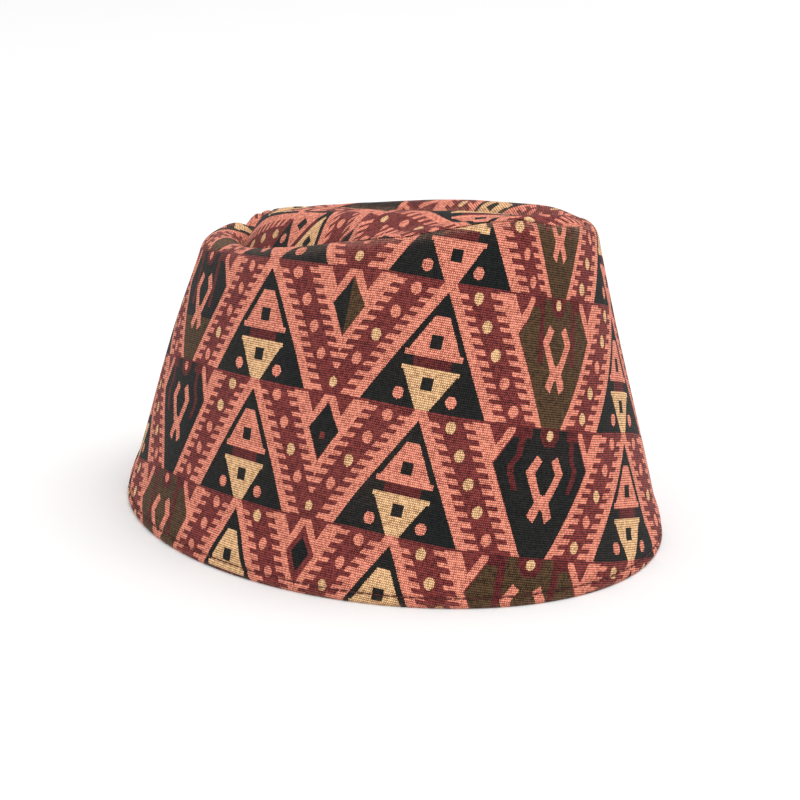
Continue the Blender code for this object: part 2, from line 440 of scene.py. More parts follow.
def loft(rings):
    """A bmesh made by extruding a circle ring by ring, with each vertex's column and ring."""
    bm = bmesh.new()
    column = bm.verts.layers.int.new("column")
    ring_number = bm.verts.layers.int.new("ring")
    count = len(rings[0])
    verts = bmesh.ops.create_circle(bm, segments=count, radius=1.0)["verts"]
    for vert in verts:
        turn = math.atan2(vert.co.x, -vert.co.y) / (2 * math.pi)
        vert[column] = round(turn * count) % count
    edges = bm.edges[:]
    for number, ring in enumerate(rings):
        if number:
            grown = bmesh.ops.extrude_edge_only(bm, edges=edges)["geom"]
            verts = [g for g in grown if isinstance(g, bmesh.types.BMVert)]
            edges = [g for g in grown if isinstance(g, bmesh.types.BMEdge) and g.is_boundary]
        for vert in verts:
            vert.co = ring[vert[column]]
            vert[ring_number] = number
    return bm


def close_pole(bm, number, place):
    """Closes the hole inside a ring with a fan that meets in one vertex."""
    ring_number = bm.verts.layers.int["ring"]
    border = [edge for edge in bm.edges if edge.is_boundary]
    edges = [e for e in border if all(v[ring_number] == number for v in e.verts)]
    grown = bmesh.ops.extrude_edge_only(bm, edges=edges)["geom"]
    verts = [g for g in grown if isinstance(g, bmesh.types.BMVert)]
    bmesh.ops.pointmerge(bm, verts=verts, merge_co=place)


def cloth_map(bm, place_of):
    """Writes the map of the flat cloth, split along the first column."""
    column = bm.verts.layers.int["column"]
    ring_number = bm.verts.layers.int["ring"]
    cloth = bm.loops.layers.uv.new("cloth")
    count = len(ANGLES)
    for face in bm.faces:
        columns = [vert[column] for vert in face.verts]
        wraps = max(columns) - min(columns) > count / 2
        for corner in face.loops:
            at = corner.vert[column]
            if wraps and at < count / 2:
                at += count
            corner[cloth].uv = place_of(at, corner.vert[ring_number])


def keep_wear(bm, wear_of):
    """Keeps at each vertex how much the cloth is rubbed there, from 0 to 1."""
    column = bm.verts.layers.int["column"]
    ring_number = bm.verts.layers.int["ring"]
    worn = bm.verts.layers.float.new("worn")
    for vert in bm.verts:
        vert[worn] = wear_of(vert[column], vert[ring_number])


def line_inside(bm, last_outside):
    """Gives the second material, the lining, to the faces past the last ring of the outside."""
    ring_number = bm.verts.layers.int["ring"]
    for face in bm.faces:
        face.material_index = int(max(vert[ring_number] for vert in face.verts) > last_outside)


def finished_piece(name, bm, materials):
    """The object made of a bmesh, in the scene."""
    mesh = bpy.data.meshes.new(name)
    bmesh.ops.recalc_face_normals(bm, faces=bm.faces[:])
    bm.to_mesh(mesh)
    bm.free()
    for material in materials:
        mesh.materials.append(material)
    mesh.shade_smooth()
    piece = bpy.data.objects.new(name, mesh)
    bpy.context.collection.objects.link(piece)
    return piece


def pull_at(angle, height):
    """Listed shift of the cloth, in mm, at an angle and a height over the rim in mm."""
    turned = min(PULL[-1][0], max(PULL[0][0], math.degrees(angle)))
    for low, high in zip(PULL, PULL[1:]):
        if turned <= high[0]:
            share = (turned - low[0]) / (high[0] - low[0])
            _, rim_s, top_s, rim_t, top_t = [a + (b - a) * share for a, b in zip(low, high)]
            break
    up = height / PULL_HEIGHT
    return Vector((rim_s * (1 - up) + top_s * up, rim_t * (1 - up) + top_t * up))


def third_corner(p, q, from_p, from_q):
    """Corner of a flat triangle to the right of the line from p to q."""
    base = (q - p).length
    along = (q - p) / base
    x = (from_p ** 2 - from_q ** 2 + base ** 2) / (2 * base)
    y = math.sqrt(max(from_p ** 2 - x ** 2, 0.0))
    return p + along * x + Vector((along.y, -along.x)) * y


def unrolled_wall():
    """Rim and top places on the flat cloth for each column, and for the first one again."""
    sections = SECTIONS + [WallSection(math.pi)]
    rims = [section.rim / MM for section in sections]
    tops = [section.top / MM for section in sections]
    flat_rims = [Vector((0.0, 0.0))]
    flat_tops = [Vector((0.0, (tops[0] - rims[0]).length))]
    for k in range(1, len(sections)):
        before = flat_rims[-1], flat_tops[-1]
        step = (rims[k] - rims[k - 1]).length
        rim = third_corner(*before, step, (rims[k] - tops[k - 1]).length)
        height = (tops[k] - rims[k]).length
        top = third_corner(rim, before[1], height, (tops[k] - tops[k - 1]).length)
        flat_rims.append(rim)
        flat_tops.append(top)
    pin = min(range(len(ANGLES)), key=lambda k: abs(ANGLES[k] - PIN_ANGLE))
    lean = flat_tops[pin] - flat_rims[pin]
    turn = Matrix.Rotation(math.atan2(lean.x, lean.y) - PIN_LEAN, 2)
    pinned = flat_rims[pin].copy()
    placed = [[turn @ (p - pinned) + PIN_PLACE for p in flat] for flat in (flat_rims, flat_tops)]
    return [*zip(placed[0], placed[1], [section.length / MM for section in sections])]


def make_side_wall(outside, inside):
    """Side wall: up the outside, over the roll, into the seam and down the inside."""
    columns, heights = [], []
    turned_top = TURNED_STATIONS[0][0] * MM
    for section in SECTIONS:
        stations = section.stations()
        points = [section.outer(s) for s in stations]
        points += section.tuck(section.seam_edge(), WALL_TUCK)
        stations += [section.full + share * SEAM_TUCK for share in WALL_TUCK_CLOTH]
        under = [section.full]
        under += steps_between(section.full, section.straight, INNER_ROLL_STEPS)
        under += steps_between(section.straight, turned_top, INNER_WALL_STEPS)[:-1]
        points += [section.inner(s, CLOTH) for s in under]
        points += [section.inner(h * MM, t * MM) for h, t in TURNED_STATIONS]
        columns.append(points)
        heights.append([s / MM for s in stations + under + [h * MM for h, _ in TURNED_STATIONS]])
    bm = loft([*zip(*columns)])
    bmesh.ops.bridge_loops(bm, edges=[edge for edge in bm.edges if edge.is_boundary])
    flat = unrolled_wall()

    def place_of(column, ring):
        height = heights[column % len(ANGLES)][ring]
        rim, top, length = flat[column]
        angle = ANGLES[column % len(ANGLES)] if column < len(ANGLES) else math.pi
        return rim.lerp(top, height / length) + pull_at(angle, height)

    def wear_of(column, ring):
        section, height = SECTIONS[column], heights[column][ring]
        at_rim = bell(height, RIM_WEAR_REACH)
        at_seam = bell(section.full / MM - height, SEAM_WEAR_REACH)
        over_straight = height - section.straight / MM
        on_roll = ROLL_WEAR * bell(over_straight - ROLL_WEAR_PLACE, ROLL_WEAR_REACH)
        return min(1.0, at_rim + at_seam + on_roll)

    cloth_map(bm, place_of)
    keep_wear(bm, wear_of)
    last_outside = len(SECTIONS[0].stations()) + len(WALL_TUCK) - 1
    line_inside(bm, last_outside)
    return finished_piece("side_wall_cloth", bm, [outside, inside])


def ridge_height(angle):
    """Height of the panel's ridge over the crown's level."""
    swell = (0.5 + 0.5 * math.cos(angle - RIDGE_SWELL_ANGLE)) ** RIDGE_SWELL_POWER
    swell *= 1 - RIDGE_TUCK * bell(angle_between(angle, RIDGE_TUCK_ANGLE), RIDGE_TUCK_SPREAD)
    return RIDGE_LOW + RIDGE_SWELL * swell


def panel_height(share_in, reach, section, seam_height):
    """Height over the crown's level at a share of the way in from the seam.

    Behind a high seam the cloth swells up out of it. Behind a low one it first runs round the
    top edge as the wall's roll would, and then eases over to the ridge.
    """
    ridge = ridge_height(section.angle)
    begun = math.sin(section.roll_end)
    ridge_in = RIDGE_IN + ROLL_RADIUS * (math.sin(RIDGE_TURN) - begun)
    away = share_in * reach
    if away > ridge_in:
        hollow_in = HOLLOW_SHARE * reach
        sink = smooth_step((away - ridge_in) / (hollow_in - ridge_in))
        return ridge - (HOLLOW_DEPTH + ridge) * sink
    rise = math.sin(math.pi / 2 * away / ridge_in) ** RIDGE_RISE_POWER
    swelling = seam_height + (ridge - seam_height) * rise
    round_in = ROLL_RADIUS * (math.sin(OVER_TURN) - begun)
    if round_in <= 0:
        return swelling
    if away < round_in:
        level = math.sqrt(1 - (begun + away / ROLL_RADIUS) ** 2)
        rolling = ROLL_RADIUS * (level - 1)
    else:
        over = ROLL_RADIUS * (math.cos(OVER_TURN) - 1)
        share = (away - round_in) / (ridge_in - round_in)
        dip = -math.tan(OVER_TURN) * (ridge_in - round_in)
        rolling = over + (ridge - over) * smooth_step(share) + dip * share * (1 - share) ** 2
    return swelling + (rolling - swelling) * smooth_step(round_in / OVER_REACH)


def make_top_panel(outside, inside):
    """Top panel: from its middle out to the seam, down into it and back underneath."""
    centre = TOP_CENTRE.copy()
    middle = Vector((centre.x, centre.y, crown_level(centre, 0.0, 0.0) - HOLLOW_DEPTH))
    columns = []
    for section in SECTIONS:
        seam = section.seam_edge() + section.gap_way * SEAM_GAP
        reach = (seam.xy - centre).length
        seam_height = seam.z - crown_level(seam.xy, section.angle)
        top = [seam]
        for share in PANEL_STATIONS:
            plan, away = seam.xy.lerp(centre, share), share * reach
            height = panel_height(share, reach, section, seam_height)
            pull = smooth_step(1 - away / PUCKER_REACH) * min(1.0, away / PUCKER_START)
            height -= pucker(seam) * pull
            loose = smooth_step(away / PANEL_WAVE_GROWTH)
            height += WAVE * loose * noise.noise(plan.to_3d() / PANEL_WAVE_LENGTH)
            level = crown_level(plan, section.angle, 1 - share)
            top.append(Vector((plan.x, plan.y, level + height)))
        under = [p - Vector((0, 0, CLOTH)) for p in top[PANEL_UNDER]]
        columns.append(top[::-1] + section.tuck(seam, PANEL_TUCK) + under)
    bm = loft([*zip(*columns)])
    close_pole(bm, 0, middle)
    close_pole(bm, len(columns[0]) - 1, middle - Vector((0, 0, CLOTH)))
    turn = Matrix.Rotation(PANEL_CLOTH_TURN, 2)
    seam_ring = len(PANEL_STATIONS)
    lip_ring = seam_ring + PANEL_TUCK_LIP
    reach_of = [lengths_along([middle, *points])[1:] for points in columns]

    def place_of(column, ring):
        column = column % len(ANGLES)
        away = reach_of[column][ring]
        if ring > lip_ring:
            away = 2 * reach_of[column][lip_ring] - away
        aim = (columns[column][seam_ring].xy - centre).normalized()
        return turn @ (aim * (away / MM)) + PANEL_CLOTH_PLACE

    def wear_of(column, ring):
        past = reach_of[column][seam_ring + 1] - reach_of[column][ring]
        return bell(past / MM, SEAM_WEAR_REACH)

    cloth_map(bm, place_of)
    keep_wear(bm, wear_of)
    line_inside(bm, seam_ring + PANEL_TUCK_OUTSIDE)
    cloth = bm.loops.layers.uv["cloth"]
    for face in bm.faces:
        for corner in face.loops:
            if (corner.vert.co.xy - centre).length < POLE_SIZE:
                corner[cloth].uv = PANEL_CLOTH_PLACE
    return finished_piece("top_panel_cloth", bm, [outside, inside])


def walk_round(height, count, place_of):
    """Evenly spaced (place, way along) pairs round the cap, and how far apart they are."""
    turns = [-math.pi, *steps_between(-math.pi, math.pi, STITCH_WALK_STEPS)]
    places = [place_of(WallSection(turn), height) for turn in turns]
    lengths = lengths_along(places)
    found, k = [], 0
    for number in range(count):
        target = lengths[-1] * (number + 0.5) / count
        while lengths[k + 1] < target:
            k += 1
        share = (target - lengths[k]) / (lengths[k + 1] - lengths[k])
        found.append((places[k].lerp(places[k + 1], share), places[k + 1] - places[k]))
    return found, lengths[-1] / count


def make_hem_stitches(material):
    """A row of lockstitches in the groove over the rim, on the outside and the inside."""
    one = bmesh.new()
    bmesh.ops.create_uvsphere(one, u_segments=7, v_segments=6, radius=1.0)
    bmesh.ops.rotate(one, verts=one.verts[:], matrix=Matrix.Rotation(math.pi / 2, 3, "Y"))
    one_stitch = bpy.data.meshes.new("one_stitch")
    one.to_mesh(one_stitch)
    one.free()
    bm = bmesh.new()

    def outer_row(section, s):
        return section.inner(s, STITCH_GROOVE - STITCH_OUTSIDE)

    def inner_row(section, s):
        return section.inner(s, STITCH_CLOTH + STITCH_INSIDE)

    for row in (outer_row, inner_row):
        found, pitch = walk_round(STITCH_HEIGHT, STITCH_COUNT, row)
        for place, along in found:
            turn = along.to_track_quat("X", "Z").to_matrix().to_4x4()
            half = STITCH_HALF_LENGTH * pitch
            size = Matrix.Diagonal((half, STITCH_RADIUS, STITCH_RADIUS, 1.0))
            stitch = one_stitch.copy()
            stitch.transform(Matrix.Translation(place) @ turn @ size)
            bm.from_mesh(stitch)
            bpy.data.meshes.remove(stitch)
    bpy.data.meshes.remove(one_stitch)
    return finished_piece("hem_stitches", bm, [material])


def srgb(red, green, blue):
    """Linear colour of a paint chip given in 0 to 255 steps."""
    steps = [value / 255 for value in (red, green, blue)]
    linear = [v / 12.92 if v <= 0.04045 else ((v + 0.055) / 1.055) ** 2.4 for v in steps]
    return (*linear, 1.0)


# Yarns of the cloth, each as a pair: the colour of the gaps between the crossings, and the colour
# of the thread on top where the threads cross. The pair is partly the real yarns' own colours and
# partly painted light: painted shade in the gaps and a painted highlight on the thread tops.
CORAL = srgb(106, 38, 30), srgb(252, 160, 134)
MAROON = srgb(30, 4, 12), srgb(142, 64, 60)
WINE = srgb(22, 3, 8), srgb(114, 46, 46)
BLACK = srgb(3, 5, 6), srgb(34, 37, 36)
TAN = srgb(116, 78, 46), srgb(250, 203, 152)
OLIVE = srgb(17, 9, 7), srgb(96, 72, 48)
WORN = srgb(196, 150, 128)
# The lining's yarn as a shaded and a lit copy of one colour, for painted shade and painted
# highlight.
LINING_SHADED_AND_LIT = srgb(58, 30, 32), srgb(96, 58, 54)
STITCH_THREAD = srgb(34, 18, 20), srgb(112, 52, 50)
WHITE = (1.0, 1.0, 1.0, 1.0)
PALE_FLOOR = (0.79, 0.79, 0.79, 1.0)


class Wire:
    """A node socket that sums and comparisons can be written with."""

    def __init__(self, tree, socket):
        self.tree = tree
        self.socket = socket

    def math(self, operation, *others):
        node = self.tree.nodes.new("ShaderNodeMath")
        node.operation = operation
        self.tree.links.new(self.socket, node.inputs[0])
        for number, other in enumerate(others, 1):
            if isinstance(other, Wire):
                self.tree.links.new(other.socket, node.inputs[number])
            else:
                node.inputs[number].default_value = other
        return Wire(self.tree, node.outputs[0])

    def __add__(self, other):
        return self.math("ADD", other)

    def __sub__(self, other):
        return self.math("SUBTRACT", other)

    def __rsub__(self, other):
        return self.math("MULTIPLY_ADD", -1.0, other)

    def __mul__(self, other):
        return self.math("MULTIPLY", other)

    def __truediv__(self, other):
        return self.math("DIVIDE", other)

    def __mod__(self, other):
        return self.math("FLOORED_MODULO", other)

    def __lt__(self, other):
        return self.math("LESS_THAN", other)

    def __gt__(self, other):
        return self.math("GREATER_THAN", other)

    def __and__(self, other):
        return self.math("MINIMUM", other)

    def __or__(self, other):
        return self.math("MAXIMUM", other)

    def __invert__(self):
        return 1.0 - self

    def __abs__(self):
        return self.math("ABSOLUTE")

    def floor(self):
        return self.math("FLOOR")

    def between(self, low, high):
        return (self > low) & (self < high)

    def spread(self, low, high):
        """The value, which runs from 0 to 1, made to run from low to high."""
        return self * (high - low) + low

    def is_number(self, number):
        """1 where a whole value is the number."""
        return self.math("COMPARE", number, WHOLE_MARGIN)

    def outline(self, points):
        """Value read off a line of (place, value) points."""
        low, high = points[0][0], points[-1][0]
        top = max(value for _, value in points)
        node = self.tree.nodes.new("ShaderNodeFloatCurve")
        curve = node.mapping.curves[0]
        while len(curve.points) < len(points):
            curve.points.new(0.5, 0.5)
        for knot, (place, value) in zip(curve.points, points):
            knot.location = ((place - low) / (high - low), value / top)
            knot.handle_type = "VECTOR"
        node.mapping.update()
        self.tree.links.new(((self - low) * (1 / (high - low))).socket, node.inputs["Value"])
        return Wire(self.tree, node.outputs[0]) * top


def new_group(name, inputs, outputs):
    """A shader node group with named sockets; gives its tree, and its input and output nodes."""
    tree = bpy.data.node_groups.new(name, "ShaderNodeTree")
    for label, kind in inputs:
        tree.interface.new_socket(name=label, in_out="INPUT", socket_type=kind)
    for label, kind in outputs:
        tree.interface.new_socket(name=label, in_out="OUTPUT", socket_type=kind)
    return tree, tree.nodes.new("NodeGroupInput"), tree.nodes.new("NodeGroupOutput")


def split(tree, socket):
    node = tree.nodes.new("ShaderNodeSeparateXYZ")
    tree.links.new(socket, node.inputs[0])
    return Wire(tree, node.outputs["X"]), Wire(tree, node.outputs["Y"])


def join(tree, x, y):
    node = tree.nodes.new("ShaderNodeCombineXYZ")
    tree.links.new(x.socket, node.inputs["X"])
    tree.links.new(y.socket, node.inputs["Y"])
    return node.outputs[0]


def paint(tree, under, over, mask):
    """Colour socket with another colour laid over it where the mask is 1."""
    node = tree.nodes.new("ShaderNodeMix")
    node.data_type = "RGBA"
    for value, name in ((mask, "Factor_Float"), (under, "A_Color"), (over, "B_Color")):
        socket = next(s for s in node.inputs if s.identifier == name)
        if isinstance(value, Wire):
            tree.links.new(value.socket, socket)
        elif isinstance(value, bpy.types.NodeSocket):
            tree.links.new(value, socket)
        else:
            socket.default_value = value
    return next(s for s in node.outputs if s.identifier == "Result_Color")


def chance(tree, x, y):
    """Random value of one place where the threads cross."""
    node = tree.nodes.new("ShaderNodeTexWhiteNoise")
    node.noise_dimensions = "2D"
    tree.links.new(join(tree, x, y), node.inputs["Vector"])
    return Wire(tree, node.outputs["Value"])


def make_weave_group():
    """Plain weave with its crossings laid like bricks.

    Takes a place on the cloth in mm. Gives the middle of the cell of half a thread by half a
    rib there, the height of the thread where the threads cross, and chances of that place and of
    its row.
    """
    tree, given, made = new_group(
        "plain_weave",
        [
            ("Place", "NodeSocketVector"), ("Thread", "NodeSocketFloat"),
            ("Rib", "NodeSocketFloat"),
        ],
        [
            ("Thread Place", "NodeSocketVector"), ("Height", "NodeSocketFloat"),
            ("Chance", "NodeSocketFloat"), ("Row Chance", "NodeSocketFloat"),
        ],
    )
    s, t = split(tree, given.outputs["Place"])
    thread = Wire(tree, given.outputs["Thread"])
    rib = Wire(tree, given.outputs["Rib"])
    weft = (t / rib).floor()
    odd = (weft % 2.0) * 0.5
    warp = (s / thread + odd).floor()
    across = s / thread + odd - warp - 0.5
    along = t / rib - weft - 0.5
    round_cap = (across * math.pi).math("COSINE") * (along * math.pi).math("COSINE")
    half_thread, half_rib = thread * 0.5, rib * 0.5
    cell_s = ((s / half_thread).floor() + 0.5) * half_thread
    cell_t = ((t / half_rib).floor() + 0.5) * half_rib
    height = round_cap.math("POWER", CROSSING_POWER)
    tree.links.new(join(tree, cell_s, cell_t), made.inputs["Thread Place"])
    tree.links.new(height.socket, made.inputs["Height"])
    tree.links.new(chance(tree, warp, weft).socket, made.inputs["Chance"])
    same_warp = weft * 0.0
    tree.links.new(chance(tree, same_warp, weft).socket, made.inputs["Row Chance"])
    return tree


def teeth(down, first, pitch, top):
    """Mask of the level teeth of a comb, which begins at its top."""
    return (abs((down - first + pitch / 2) % pitch - pitch / 2) < TOOTH) & (down > top)


def slant(down, start, at_start, slope):
    """Width that changes by slope with each mm down, from its value at the start."""
    return (down - start) * slope + at_start


def block(across, down, half, top, bottom):
    """Mask of a shape from top to bottom that reaches half its width to each side."""
    return (across < half) & down.between(top, bottom)


def bar(across, down, middle, half, bottom):
    """Mask of a bar that hangs from the top of the row."""
    return (abs(across - middle) < half) & (down < bottom)


def tower_parts(layers, a, d, row):
    """The black tower with its house, bar, upturned shape, windows and two dots.

    a is the way from the tower's middle and d the way down from the top of its row.
    """
    half = slant(d, start=3.2, at_start=0.0, slope=0.572)
    comb = teeth(d, first=3.6, pitch=3.1, top=1.8)
    comb_end = half + slant(d, start=0.0, at_start=6.3, slope=0.028)
    layers.lay(CORAL, (a < half + STRIPE) | (comb & (a < comb_end)))
    layers.lay(BLACK, a < half)
    tan_house = row.is_number(0) | row.is_number(3)
    gable = slant(d, start=10.4, at_start=2.1, slope=0.54)
    house = block(a, d, half=gable, top=10.4, bottom=21.6)
    house = house | block(a, d, half=9.1, top=21.4, bottom=23.3)
    layers.lay(CORAL, house)
    layers.lay(TAN, house, tan_house)
    layers.lay(WINE, block(a, d, half=5.8, top=23.2, bottom=26.3))
    point = slant(d, start=27.5, at_start=8.5, slope=-0.56)
    upturned = block(a, d, half=9.1, top=26.2, bottom=27.6)
    upturned = upturned | block(a, d, half=point, top=27.3, bottom=ROW)
    layers.lay(TAN, upturned)
    layers.lay(CORAL, upturned, tan_house)
    layers.lay(BLACK, block(a, d, half=1.85, top=16.3, bottom=20.2))
    layers.lay(BLACK, block(a, d, half=1.85, top=29.1, bottom=32.9))
    layers.dot(CORAL, a, d, at=(8.35, 35.1), half=(1.75, 1.9))


def band_dots(layers, a, d, x, row, right, first):
    """The row of dots in the red band on both sides of a tower, coral or tan.

    x is the way from the narrow valley; right and first tell the towers of a repeat apart.
    """
    step_out, step_down = DOT_STEP
    count = ((d - FIRST_DOT[1] + step_down / 2) / step_down).floor()
    at = (count * step_out + FIRST_DOT[0], count * step_down + FIRST_DOT[1])
    wide = x > TOWER
    middle = count.is_number(2)
    rich = row.is_number(2)
    last = row.is_number(3)
    right_tan = (count < 3) | (rich & (count < 4))
    left_tan = (rich & (middle | (count > 3))) | (~rich & ~middle)
    first_tan = (rich & (count < 2)) | (row.is_number(1) & count.is_number(3))
    left_tan = (first & first_tan) | (~first & left_tan)
    narrow_tan = middle & (right | rich) | (last & ~right & count.is_number(0))
    tan = (~wide & narrow_tan) | (wide & right & right_tan) | (wide & ~right & left_tan)
    shown = wide | (count < NARROW_SIDE_DOTS)
    layers.dot(CORAL, a, d, at, BAND_DOT, shown)
    layers.dot(TAN, a, d, at, BAND_DOT, tan & shown)


def valley_edges(layers, a, d):
    """Coral stripe along a valley, with its comb and the arm that splits off at its top."""
    edge = slant(d, start=ARM_SPLIT, at_start=ARM_OUT, slope=ARM_SLOPE)
    arm = abs(d - ARM_SPLIT) * ARM_SLOPE + ARM_OUT
    comb = teeth(d, first=2.3, pitch=3.12, top=VALLEY_TOP)
    inner = edge - VALLEY_STRIPE - comb * VALLEY_TOOTH
    fork = abs(a - ARM_OUT) < slant(d, start=6.8, at_start=0.0, slope=-0.55)
    layers.lay(CORAL, (a > inner) & (a < arm) & (d > VALLEY_TOP) & ~fork)


def narrow_valley(layers, x, d, row, right):
    """Dark diamond of the narrow valley, and the small dot under it."""
    edge = d.outline(DIAMOND)
    core = block(x, d, half=edge, top=3.6, bottom=20.4)
    layers.lay(BLACK, core)
    layers.lay(OLIVE, core, row.is_number(1) & right)
    layers.lay(MAROON, block(x, d, half=1.0, top=12.5, bottom=14.5), row.is_number(2))
    border = (x > edge - DIAMOND_BORDER) | (d > DIAMOND_FOOT)
    layers.lay(MAROON, core & border, row.is_number(3))
    layers.dot(TAN, x, d, at=(0.0, 35.4), half=(1.4, 1.6))


def wide_valley(layers, x, w, d, row, first):
    """Broad dark body of the wide valley with its halo dot, chevron and tongs.

    w is the way from the valley's middle and x the way from the narrow valley's.
    """
    body = (x > abs(d - BODY_WIDEST) * BODY_SLOPE + BODY_OUT) & (d > BODY_TOP)
    dark = row.is_number(2)
    layers.lay(OLIVE, body)
    layers.lay(BLACK, body, dark | (first & row.is_number(1) & (d < BODY_BLACK_END)))
    layers.lay(WINE, w < d.outline(HALO))
    layers.dot(TAN, w, d, at=(0.0, 2.3), half=(1.6, 1.6))
    layers.dot(CORAL, w, d, at=(0.0, 2.3), half=(1.6, 1.6), also=first)
    layers.lay(WINE, bar(x, d, middle=d.outline(CHEVRON), half=1.1, bottom=19.5), dark)
    leaning = slant(d, start=0.0, at_start=66.5, slope=0.05)
    layers.lay(WINE, bar(x, d, middle=leaning, half=1.2, bottom=20.0), ~dark)
    layers.lay(WINE, bar(x, d, middle=65.0, half=3.0, bottom=3.5))
    tongs = block(w, d, half=d.outline(TONGS_OUTSIDE), top=8.2, bottom=28.6)
    layers.lay(CORAL, tongs & (w > d.outline(TONGS_INSIDE) - OUTLINE_MARGIN))


class Layers:
    """Yarns laid one over the other in a node tree: of each a shaded colour for the gaps between
    the crossings and a lit colour for the thread on top, as painted shade and painted highlight.
    """

    def __init__(self, tree, yarn):
        self.tree = tree
        # Each yarn comes as its shaded colour for the gaps and its lit colour for the thread
        # tops: painted shade and painted highlight.
        self.shaded_ground, self.lit_crossing = yarn

    def lay(self, yarn, mask, also=None):
        """Covers what lies there with a yarn where the mask, and the second one, are 1."""
        if also is not None:
            mask = mask & also
        self.shaded_ground = paint(self.tree, self.shaded_ground, yarn[0], mask)
        self.lit_crossing = paint(self.tree, self.lit_crossing, yarn[1], mask)

    def dot(self, yarn, across, down, at, half, also=None):
        """An oval dot, with its middle and its half width and height each as (across, down)."""
        aside = ((across - at[0]) / half[0]).math("POWER", 2.0)
        below = ((down - at[1]) / half[1]).math("POWER", 2.0)
        self.lay(yarn, aside + below < 1.0, also)


def make_figure_group():
    """The woven figure: towers, bands and valleys in rows. Takes a place on the cloth in mm."""
    tree, given, made = new_group(
        "woven_figure",
        [("Place", "NodeSocketVector")],
        [("Shaded Ground", "NodeSocketColor"), ("Lit Crossing", "NodeSocketColor")],
    )
    s, t = split(tree, given.outputs["Place"])
    down = t * -1.0
    d = down % ROW
    row = (down / ROW).floor() % ROW_KINDS
    from_valley = s - NARROW_VALLEY
    first = from_valley < 0.0
    x = from_valley.math("PINGPONG", HALF_REPEAT)
    right = (from_valley % (2 * HALF_REPEAT)) < HALF_REPEAT
    a = abs(x - TOWER)
    layers = Layers(tree, MAROON)
    tower_parts(layers, a, d, row)
    band_dots(layers, a, d, x, row, right, first)
    valley_edges(layers, a, d)
    narrow_valley(layers, x, d, row, right)
    wide_valley(layers, x, HALF_REPEAT - x, d, row, first)
    # The yarn's shaded colour and lit colour at each place, for painted shade in the gaps and a
    # painted highlight on the thread tops.
    tree.links.new(layers.shaded_ground, made.inputs["Shaded Ground"])
    tree.links.new(layers.lit_crossing, made.inputs["Lit Crossing"])
    return tree


def place_group(tree, group):
    node = tree.nodes.new("ShaderNodeGroup")
    node.node_tree = group
    return node


def cloth_place(tree):
    node = tree.nodes.new("ShaderNodeUVMap")
    node.uv_map = "cloth"
    return node.outputs["UV"]


def worn_edge(tree):
    """How much an edge of the cloth is rubbed, as the piece keeps it at its vertices."""
    node = tree.nodes.new("ShaderNodeAttribute")
    node.attribute_name = "worn"
    return Wire(tree, node.outputs["Fac"])


def soft_noise(tree, scale, detail=3.0):
    """Soft change over the piece from 0 to 1, read in object coordinates."""
    where = tree.nodes.new("ShaderNodeTexCoord")
    node = tree.nodes.new("ShaderNodeTexNoise")
    node.inputs["Scale"].default_value = scale
    node.inputs["Detail"].default_value = detail
    tree.links.new(where.outputs["Object"], node.inputs["Vector"])
    return Wire(tree, node.outputs[0])


def new_material(name, sheen=0.0):
    """A dull material; gives it with its node tree and its shader."""
    material = bpy.data.materials.new(name)
    material.use_nodes = True
    shader = material.node_tree.nodes["Principled BSDF"]
    shader.inputs["Specular IOR Level"].default_value = 0.12
    shader.inputs["Sheen Weight"].default_value = sheen
    shader.inputs["Sheen Roughness"].default_value = 0.5
    return material, material.node_tree, shader


def bump_with(tree, shader, height, strength, distance):
    bump = tree.nodes.new("ShaderNodeBump")
    bump.inputs["Strength"].default_value = strength
    bump.inputs["Distance"].default_value = distance
    tree.links.new(height.socket, bump.inputs["Height"])
    tree.links.new(bump.outputs["Normal"], shader.inputs["Normal"])


def make_woven_material(name, weave_group, figure_group):
    """Outer face of the cloth: the figure in coloured threads, with light and dark crossings,
    painted as a highlight on the high thread tops and shade in the gaps, with random tone.
    """
    material, tree, shader = new_material(name, sheen=0.02)
    weave = place_group(tree, weave_group)
    weave.inputs["Thread"].default_value = THREAD
    weave.inputs["Rib"].default_value = RIB
    tree.links.new(cloth_place(tree), weave.inputs["Place"])
    figure = place_group(tree, figure_group)
    tree.links.new(weave.outputs["Thread Place"], figure.inputs["Place"])
    height = Wire(tree, weave.outputs["Height"])
    luck = Wire(tree, weave.outputs["Chance"])
    row_luck = Wire(tree, weave.outputs["Row Chance"])
    by_height, by_chance, by_row, shaded_ground = LIT_TOP_SHARES
    # Painted shade and highlight: the higher the thread where the threads cross, the more of the
    # lit colour it takes over the shaded one; the chances add random tone.
    lit_top_share = height * by_height + luck * by_chance + row_luck * by_row - shaded_ground
    colour = paint(tree, figure.outputs["Shaded Ground"], figure.outputs["Lit Crossing"], lit_top_share)
    faded = soft_noise(tree, scale=22.0).spread(-0.045, 0.075) | 0.0
    rubbed = soft_noise(tree, scale=260.0, detail=4.0).spread(-0.055, 0.55) * worn_edge(tree)
    colour = paint(tree, colour, WORN, (faded + rubbed) * (lit_top_share & 1.0))
    tree.links.new(colour, shader.inputs["Base Color"])
    rough = soft_noise(tree, scale=90.0).spread(0.78, 0.90)
    tree.links.new(rough.socket, shader.inputs["Roughness"])
    bump_with(tree, shader, luck.spread(0.0, 0.3) + height, strength=0.55, distance=0.18 * MM)
    return material


